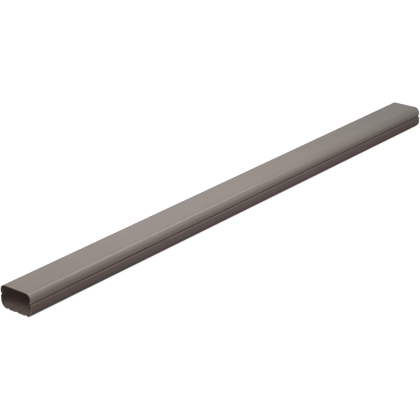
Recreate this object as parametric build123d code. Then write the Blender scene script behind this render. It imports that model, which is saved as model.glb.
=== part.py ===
from build123d import *
from math import cos, radians, tan
import os

# A length of two-piece cable trunking: a deep base channel and a shallow clip-on cover.
# X runs along the length, Y across the width and Z up. The origin is at the middle of the
# underside. Every section is drawn across the length and then drawn out along it.

# The length as it is sold, and the outside of the section, in millimetres
length = 2000.0
base_width = 129.0
overall_height = 75.8
base_corner_radius = 22.5
cover_corner_radius = 19.8

# The cover stands in from the base at the seam, and its sides lean in by this many degrees
cover_inset = 0.7
cover_lean = 3.5

# Wall thicknesses of the two extrusions
base_wall = 1.6
cover_wall = 1.6

# The seam: the base's wall turns in over a round shoulder, and the cover stops short of it
shoulder_height = 41.0
shoulder_flat = 0.2
seam_height = 5.6

# The clip: the cover's hook is held between a bead and a stop on the base's rail
fit_gap = 0.3
bead_depth = 1.3
bead_height = 3.2
bead_tip_height = 0.8
stop_depth = 0.7
stop_height = 1.0

# Raised ribs of the floor, each one open below as a shallow channel
rib_count = 3
rib_side_distance = 27.2
rib_mouth = 10.0
rib_crest = 6.4
rib_height = 2.4

# Small radii of the extruded corners
bend_radius = 0.6
lip_radius = 2.0

# Screw slots through the floor, in a row midway between each two ribs
slot_width = 5.5
slot_length = 16.0
slot_pitch = 500.0

# Heights of the clip, from the seam up
base_half = base_width / 2
cover_half = base_half - cover_inset
cover_edge = shoulder_height + seam_height
bead_bottom = cover_edge + cover_wall + fit_gap
rail_top = bead_bottom + bead_height
stop_top = cover_edge - fit_gap

# How far out the cover's inner face is at the rail's top, and the clip's places from there
lean_slope = tan(radians(cover_lean))
cover_inner = cover_half - (rail_top - cover_edge) * lean_slope - cover_wall / cos(radians(cover_lean))
rail_face = cover_inner - fit_gap - bead_depth
hook_tip = rail_face + fit_gap
shoulder_radius = base_half - rail_face - shoulder_flat - bend_radius

# The ribs, spread evenly between the two outer ones, and the slots between them
outer_rib = base_half - rib_side_distance
rib_pitch = 2 * outer_rib / (rib_count - 1)
rib_middles = [index * rib_pitch - outer_rib for index in range(rib_count)]
slot_rows = [middle + rib_pitch / 2 for middle in rib_middles[:-1]]

section_plane = Plane.YZ
sides = (-1, 1)


def rounded_outline(left_side, radii):
    """A closed outline through the left side's points and their mirror image, rounded between."""
    points = left_side + [(-y, z) for y, z in reversed(left_side)]
    rounded = FilletPolyline(*points, radius=radii + radii[::-1])
    closing = Line(points[-1], points[0])
    return make_face([*rounded.edges(), closing])


def walled(outline, wall):
    """The wall of even thickness that lies inside an outline."""
    return outline - offset(outline, amount=-wall)


def gap_section(half_width, low, high):
    """A rectangle across the middle, from one height to another."""
    return Pos(0, (low + high) / 2) * Rectangle(2 * half_width, high - low)


def drawn_out(section):
    """The section extruded over the whole length, equally to both sides of the origin."""
    return extrude(section_plane * section, amount=length / 2, both=True)


def recess_section(middle):
    """The channel below one rib, narrower at its top than at its mouth."""
    points = [
        (middle - rib_mouth / 2, 0),
        (middle - rib_crest / 2, rib_height),
        (middle + rib_crest / 2, rib_height),
        (middle + rib_mouth / 2, 0),
    ]
    return make_face(Polyline(*points, close=True))


def bead_section(side):
    """The catch above the hook: level below, and sloped above to lead the hook on."""
    root = rail_face - base_wall / 2
    tip = rail_face + bead_depth
    points = [
        (side * root, bead_bottom),
        (side * tip, bead_bottom),
        (side * tip, bead_bottom + bead_tip_height),
        (side * rail_face, rail_top),
        (side * root, rail_top),
    ]
    return make_face(Polyline(*points, close=True))


def stop_section(side):
    """The small stop below the hook: level above, where the hook rests, and sloped below."""
    root = rail_face - base_wall / 2
    tip = rail_face + stop_depth
    points = [
        (side * root, stop_top),
        (side * tip, stop_top),
        (side * rail_face, stop_top - stop_height),
        (side * root, stop_top - stop_height),
    ]
    return make_face(Polyline(*points, close=True))


def base_section():
    """The base: rails, round shoulders, side walls, lower corners and ribbed floor."""
    closed_top = rail_top + base_wall
    left_side = [
        (-rail_face, closed_top),
        (-rail_face, shoulder_height),
        (-base_half, shoulder_height),
        (-base_half, 0),
    ]
    outline = rounded_outline(left_side, [bend_radius, shoulder_radius, base_corner_radius])
    for middle in rib_middles:
        outline -= recess_section(middle)
    section = walled(outline, base_wall)
    section -= gap_section(base_half, rail_top, closed_top)
    for side in sides:
        section += bead_section(side)
        section += stop_section(side)
    return section


def slot_row(row):
    """One row of screw slots, cut down through the floor and running along the length."""
    count = int(length // slot_pitch)
    cutters = Part()
    for index in range(count):
        along = (index - (count - 1) / 2) * slot_pitch
        slot = Pos(along, row, 0) * SlotOverall(slot_length, slot_width)
        cutters += extrude(slot, amount=base_wall * 2, both=True)
    return cutters


def make_base():
    """The base channel with its rows of screw slots."""
    base = drawn_out(base_section())
    for row in slot_rows:
        base -= slot_row(row)
    return base


def cover_section():
    """The cover: flat top, round corners, leaning side walls and a hook turned in below each."""
    lean_over = (overall_height - cover_edge) * lean_slope
    left_side = [
        (-hook_tip, cover_edge),
        (-cover_half, cover_edge),
        (-cover_half + lean_over, overall_height),
    ]
    outline = rounded_outline(left_side, [lip_radius, cover_corner_radius])
    section = walled(outline, cover_wall)
    return section - gap_section(hook_tip, cover_edge, cover_edge + cover_wall)


def make_cover():
    """The clip-on cover."""
    return drawn_out(cover_section())


os.makedirs("parts", exist_ok=True)
export_step(make_base(), "parts/base.step")
export_step(make_cover(), "parts/cover.step")
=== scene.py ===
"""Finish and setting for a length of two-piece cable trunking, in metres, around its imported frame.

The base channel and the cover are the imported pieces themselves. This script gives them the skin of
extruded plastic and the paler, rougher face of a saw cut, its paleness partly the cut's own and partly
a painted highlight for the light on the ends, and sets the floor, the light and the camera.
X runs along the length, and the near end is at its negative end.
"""

import math

import bpy
from mathutils import Matrix, Vector


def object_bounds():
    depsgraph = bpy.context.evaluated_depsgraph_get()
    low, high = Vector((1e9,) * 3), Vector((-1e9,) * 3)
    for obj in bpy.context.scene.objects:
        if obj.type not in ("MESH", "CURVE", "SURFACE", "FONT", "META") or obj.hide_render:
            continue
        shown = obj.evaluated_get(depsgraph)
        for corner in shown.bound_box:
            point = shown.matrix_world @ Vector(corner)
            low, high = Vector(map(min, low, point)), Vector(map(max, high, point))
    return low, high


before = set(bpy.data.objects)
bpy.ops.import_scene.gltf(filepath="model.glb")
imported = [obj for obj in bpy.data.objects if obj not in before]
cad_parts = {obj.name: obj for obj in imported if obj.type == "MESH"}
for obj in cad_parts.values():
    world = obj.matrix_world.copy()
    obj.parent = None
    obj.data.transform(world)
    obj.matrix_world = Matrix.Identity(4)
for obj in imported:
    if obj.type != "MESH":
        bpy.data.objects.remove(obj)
cad_low, cad_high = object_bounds()

# The camera: where it stands, its turn from +X towards +Y, its dip and its roll
CAMERA_PLACE = (-3.63319, -3.06003, 1.96878)
CAMERA_YAW = math.radians(41.200)
CAMERA_DIP = math.radians(22.654)
CAMERA_ROLL = math.radians(-1.985)
CAMERA_LENS = 131.887
CAMERA_SENSOR = 36.0

# The plastic of the two extrusions, and how far its colour swings to either side
COVER_PLASTIC = (0.21, 0.181, 0.159)
BASE_PLASTIC = (0.178, 0.135, 0.118)
COLOUR_SWING = 0.08

# How strongly each skin mirrors: the cover is satin and the base more matt
COVER_SHINE = 0.15
BASE_SHINE = 0.03

# The skin's roughness, what the drawn lines add to it at most, and what a saw cut adds
SKIN_ROUGHNESS = 0.24
LINE_ROUGHNESS = 0.18
SAWN_ROUGHNESS = 0.3

# How much of the relief is drawn lines, with fine grain as the rest, and how strongly it shows
LINE_SHARE = 0.6
RELIEF_STRENGTH = 0.35
RELIEF_DEPTH = 0.0002

# The sawn ends: a paler colour, partly the saw cut's own and partly a painted highlight for the light
# on the ends, that swings with the saw's marks, this near the two ends
SAWN_PLASTIC_AND_HIGHLIGHT = (0.30, 0.255, 0.22)
SAWN_SWING = 0.15
SAWN_DEPTH = 0.0001
SAW_MARK_TURN = math.radians(20)

# The floor: half its width, and how far it lies below the pieces
FLOOR_HALF = 14.0
FLOOR_DROP = 0.0002

# The floor's paint for the light that it scatters, and its paint and glow where it is seen
FLOOR_PAINT = 0.15
FLOOR_SEEN = 0.3
FLOOR_GLOW = 0.93

# How near a piece has to be for a painted shadow to darken the floor's glow in a reflection, and for
# the eye too
SHADOW_REACH = 0.1
CREVICE_REACH = 0.002

# The surround: its even light on the pieces, and its brightness where it is seen
AMBIENT = 0.03
BACKDROP = 1.0

# The soft lamps: name, place, aim point, width and height, and power in watts
LAMPS = (
    ("top_lamp", (0.0, -0.4, 1.1), (0.0, 0, 0), (0.8, 0.5), 5.5),
    ("low_top_lamp", (-0.25, 0.15, 0.75), (-0.25, 0, 0), (0.9, 0.5), 1.6),
    ("end_lamp", (-1.8, -0.2, 1.8), (-1.0, 0, 0.03), (0.9, 0.8), 10.2),
    ("low_end_lamp", (-2.0, 0.1, 1.3), (-1.0, 0, 0.03), (0.8, 0.7), 7.4),
    ("mouth_lamp", (-2.9, -1.5, 0.9), (-1.0, 0, 0.03), (1.1, 0.9), 12.0),
    ("near_side_lamp", (-0.4, -1.3, 0.7), (-0.4, 0, 0.03), (1.4, 0.7), 3.7),
    ("far_side_lamp", (3.1, -2.6, 0.95), (0.1, 0, 0.05), (2.4, 1.5), 31.0),
    ("near_edge_lamp", (4.2, -1.1, 6.2), (-0.5, 0, 0.06), (0.9, 0.9), 62.0),
    ("long_edge_lamp", (4.8, -1.1, 5.7), (-0.3, 0, 0.06), (0.8, 1.8), 77.0),
    ("far_edge_lamp", (5.4, -1.1, 5.2), (0.0, 0, 0.06), (0.9, 0.9), 42.0),
    ("back_lamp", (-1.2, 3.0, 0.75), (-0.2, 0, 0.03), (2.4, 1.0), 34.0),
)


class Shading:
    """Adds shader nodes to one node tree and joins them up."""

    def __init__(self, tree):
        self.tree = tree

    def add(self, kind, **settings):
        """A new node of the kind, with its settings."""
        node = self.tree.nodes.new("ShaderNode" + kind)
        for name, value in settings.items():
            setattr(node, name, value)
        return node

    def feed(self, socket, source):
        """Gives a socket either another node's output or a plain value."""
        if isinstance(source, bpy.types.NodeSocket):
            self.tree.links.new(source, socket)
        else:
            socket.default_value = source

    def maths(self, operation, *terms):
        """The result of a maths node on outputs or plain numbers."""
        node = self.add("Math", operation=operation)
        for socket, term in zip(node.inputs, terms):
            self.feed(socket, term)
        return node.outputs[0]

    def weighted(self, first, second, share):
        """The first output times its share, plus the second times the rest."""
        part = self.maths("MULTIPLY", first, share)
        rest = self.maths("MULTIPLY", second, 1 - share)
        return self.maths("ADD", part, rest)

    def stretched(self, source, along, across, turn=0.0):
        """Coordinates scaled by one factor along X and another across it, and turned about X."""
        node = self.add("Mapping")
        self.feed(node.inputs["Vector"], source)
        node.inputs["Rotation"].default_value = (turn, 0, 0)
        node.inputs["Scale"].default_value = (along, across, across)
        return node.outputs[0]

    def noise(self, source, scale, detail):
        """Smooth random heights about one half."""
        node = self.add("TexNoise")
        self.feed(node.inputs["Vector"], source)
        node.inputs["Scale"].default_value = scale
        node.inputs["Detail"].default_value = detail
        node.inputs["Roughness"].default_value = 0.5
        return node.outputs[0]

    def mixed(self, share, first, second):
        """A colour between two others."""
        node = self.add("Mix", data_type="RGBA")
        self.feed(node.inputs[0], share)
        self.feed(node.inputs[6], first)
        self.feed(node.inputs[7], second)
        return node.outputs[2]


def shade(colour, factor):
    """The colour made lighter or darker, with full opacity."""
    return (*[channel * factor for channel in colour], 1.0)


def swung(shading, heights, colour, swing):
    """The colour, darker where the heights are low and lighter where they are high."""
    return shading.mixed(heights, shade(colour, 1 - swing), shade(colour, 1 + swing))


def extruded_plastic(name, colour, shine):
    """Satin plastic drawn through a die: faint lines run along it, and its two ends are sawn, paler
    partly as sawn plastic is and partly as a painted highlight.
    """
    material = bpy.data.materials.new(name)
    material.use_nodes = True
    shading = Shading(material.node_tree)
    shader = material.node_tree.nodes["Principled BSDF"]
    place = shading.add("TexCoord").outputs["Object"]

    bands = shading.noise(shading.stretched(place, 0.5, 45.0), 1.0, 3.0)
    lines = shading.noise(shading.stretched(place, 2.0, 900.0), 1.0, 2.0)
    clouds = shading.noise(place, 5.0, 3.0)
    grain = shading.noise(place, 1800.0, 2.0)
    saw_marks = shading.noise(shading.stretched(place, 0.0, 1400.0, SAW_MARK_TURN), 1.0, 3.0)

    parts = shading.add("SeparateXYZ")
    shading.feed(parts.inputs[0], place)
    from_middle = shading.maths("ABSOLUTE", parts.outputs["X"])
    sawn = shading.maths("GREATER_THAN", from_middle, cad_high.x - SAWN_DEPTH)

    skin = swung(shading, shading.weighted(bands, clouds, 0.5), colour, 2 * COLOUR_SWING)
    # The sawn ends' paler colour is partly the cut's own and partly a painted highlight for the light
    # on the ends.
    sawn_face_and_highlight = swung(shading, saw_marks, SAWN_PLASTIC_AND_HIGHLIGHT, SAWN_SWING)
    shading.feed(shader.inputs["Base Color"], shading.mixed(sawn, skin, sawn_face_and_highlight))

    satin = shading.maths("ADD", shading.maths("MULTIPLY", lines, LINE_ROUGHNESS), SKIN_ROUGHNESS)
    cut = shading.maths("MULTIPLY", sawn, SAWN_ROUGHNESS)
    shading.feed(shader.inputs["Roughness"], shading.maths("ADD", satin, cut))
    shader.inputs["Specular IOR Level"].default_value = shine

    bump = shading.add("Bump")
    bump.inputs["Strength"].default_value = RELIEF_STRENGTH
    bump.inputs["Distance"].default_value = RELIEF_DEPTH
    shading.feed(bump.inputs["Height"], shading.weighted(lines, grain, LINE_SHARE))
    shading.feed(shader.inputs["Normal"], bump.outputs[0])
    return material


def make_camera():
    """A long lens that looks down on the near end, built from its forward, right and up directions."""
    forward = Vector((
        math.cos(CAMERA_DIP) * math.cos(CAMERA_YAW),
        math.cos(CAMERA_DIP) * math.sin(CAMERA_YAW),
        -math.sin(CAMERA_DIP),
    ))
    level = Vector((math.sin(CAMERA_YAW), -math.cos(CAMERA_YAW), 0))
    raised = level.cross(forward)
    right = level * math.cos(CAMERA_ROLL) + raised * math.sin(CAMERA_ROLL)
    up = raised * math.cos(CAMERA_ROLL) - level * math.sin(CAMERA_ROLL)
    data = bpy.data.cameras.new("camera")
    data.lens = CAMERA_LENS
    data.sensor_width = CAMERA_SENSOR
    data.clip_end = 60.0
    camera = bpy.data.objects.new("camera", data)
    turn = Matrix((right, up, -forward)).transposed().to_4x4()
    camera.matrix_world = Matrix.Translation(CAMERA_PLACE) @ turn
    bpy.context.scene.collection.objects.link(camera)
    bpy.context.scene.camera = camera


def area_lamp(name, place, aim, size, power):
    """A soft rectangular lamp that faces the aim point."""
    data = bpy.data.lights.new(name, "AREA")
    data.shape = "RECTANGLE"
    data.size, data.size_y = size
    data.energy = power
    lamp = bpy.data.objects.new(name, data)
    lamp.location = place
    lamp.rotation_mode = "QUATERNION"
    lamp.rotation_quaternion = (Vector(aim) - Vector(place)).to_track_quat("-Z", "Y")
    bpy.context.scene.collection.objects.link(lamp)


def seen_share(shading):
    """One for what the camera, a gloss or a clear piece sees, and nought for scattered light."""
    rays = shading.add("LightPath")
    direct = shading.maths("MAXIMUM", rays.outputs["Is Camera Ray"], rays.outputs["Is Glossy Ray"])
    return shading.maths("MAXIMUM", direct, rays.outputs["Is Transmission Ray"])


def openness(shading, reach):
    """One in the open, and less where a piece lies within the reach."""
    node = shading.add("AmbientOcclusion", samples=8)
    node.inputs["Distance"].default_value = reach
    return node.outputs["AO"]


def matt_paint(shading, brightness):
    """A plain grey surface without gloss."""
    node = shading.add("BsdfDiffuse")
    node.inputs["Color"].default_value = shade((1, 1, 1), brightness)
    return node.outputs[0]


def floor_glow(shading):
    """A glow that lifts the floor to white, with a painted shadow: less in crevices, and in reflections
    less near a piece.
    """
    rays = shading.add("LightPath")
    # Painted shadow: the glow is made darker where a piece is near, since the glow itself casts no
    # shade.
    near = openness(shading, SHADOW_REACH)
    shaded = shading.maths("MULTIPLY", near, near)
    share = shading.maths("MAXIMUM", rays.outputs["Is Camera Ray"], shaded)
    share = shading.maths("MULTIPLY", share, openness(shading, CREVICE_REACH))
    glow = shading.add("Emission")
    shading.feed(glow.inputs["Strength"], shading.maths("MULTIPLY", share, FLOOR_GLOW))
    return glow.outputs[0]


def make_floor():
    """A wide pale floor that shows white, and a little darker where the object keeps light off it,
    partly as real shade and partly as a painted shadow in its glow.
    """
    corners = [(-FLOOR_HALF, -FLOOR_HALF, 0), (FLOOR_HALF, -FLOOR_HALF, 0),
               (FLOOR_HALF, FLOOR_HALF, 0), (-FLOOR_HALF, FLOOR_HALF, 0)]
    mesh = bpy.data.meshes.new("floor")
    mesh.from_pydata(corners, [], [(0, 1, 2, 3)])
    floor = bpy.data.objects.new("floor", mesh)
    floor.location.z = cad_low.z - FLOOR_DROP
    bpy.context.scene.collection.objects.link(floor)
    material = bpy.data.materials.new("pale_floor")
    material.use_nodes = True
    shading = Shading(material.node_tree)
    shown = shading.add("AddShader")
    shading.feed(shown.inputs[0], matt_paint(shading, FLOOR_SEEN))
    shading.feed(shown.inputs[1], floor_glow(shading))
    blend = shading.add("MixShader")
    shading.feed(blend.inputs["Fac"], seen_share(shading))
    shading.feed(blend.inputs[1], matt_paint(shading, FLOOR_PAINT))
    shading.feed(blend.inputs[2], shown.outputs[0])
    shading.feed(material.node_tree.nodes["Material Output"].inputs["Surface"], blend.outputs[0])
    mesh.materials.append(material)


def make_world():
    """A plain surround: white where it is seen, and a soft even light elsewhere."""
    world = bpy.data.worlds.new("studio")
    world.use_nodes = True
    shading = Shading(world.node_tree)
    background = world.node_tree.nodes["Background"]
    background.inputs["Color"].default_value = (1, 1, 1, 1)
    lift = shading.maths("MULTIPLY", seen_share(shading), BACKDROP - AMBIENT)
    shading.feed(background.inputs["Strength"], shading.maths("ADD", lift, AMBIENT))
    bpy.context.scene.world = world


def dress(piece, material):
    """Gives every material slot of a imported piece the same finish."""
    for index in range(len(piece.data.materials)):
        piece.data.materials[index] = material


make_camera()
make_floor()
make_world()
for lamp in LAMPS:
    area_lamp(*lamp)
bpy.context.scene.view_settings.view_transform = "Standard"

dress(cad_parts["base"], extruded_plastic("base_plastic", BASE_PLASTIC, BASE_SHINE))
dress(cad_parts["cover"], extruded_plastic("cover_plastic", COVER_PLASTIC, COVER_SHINE))
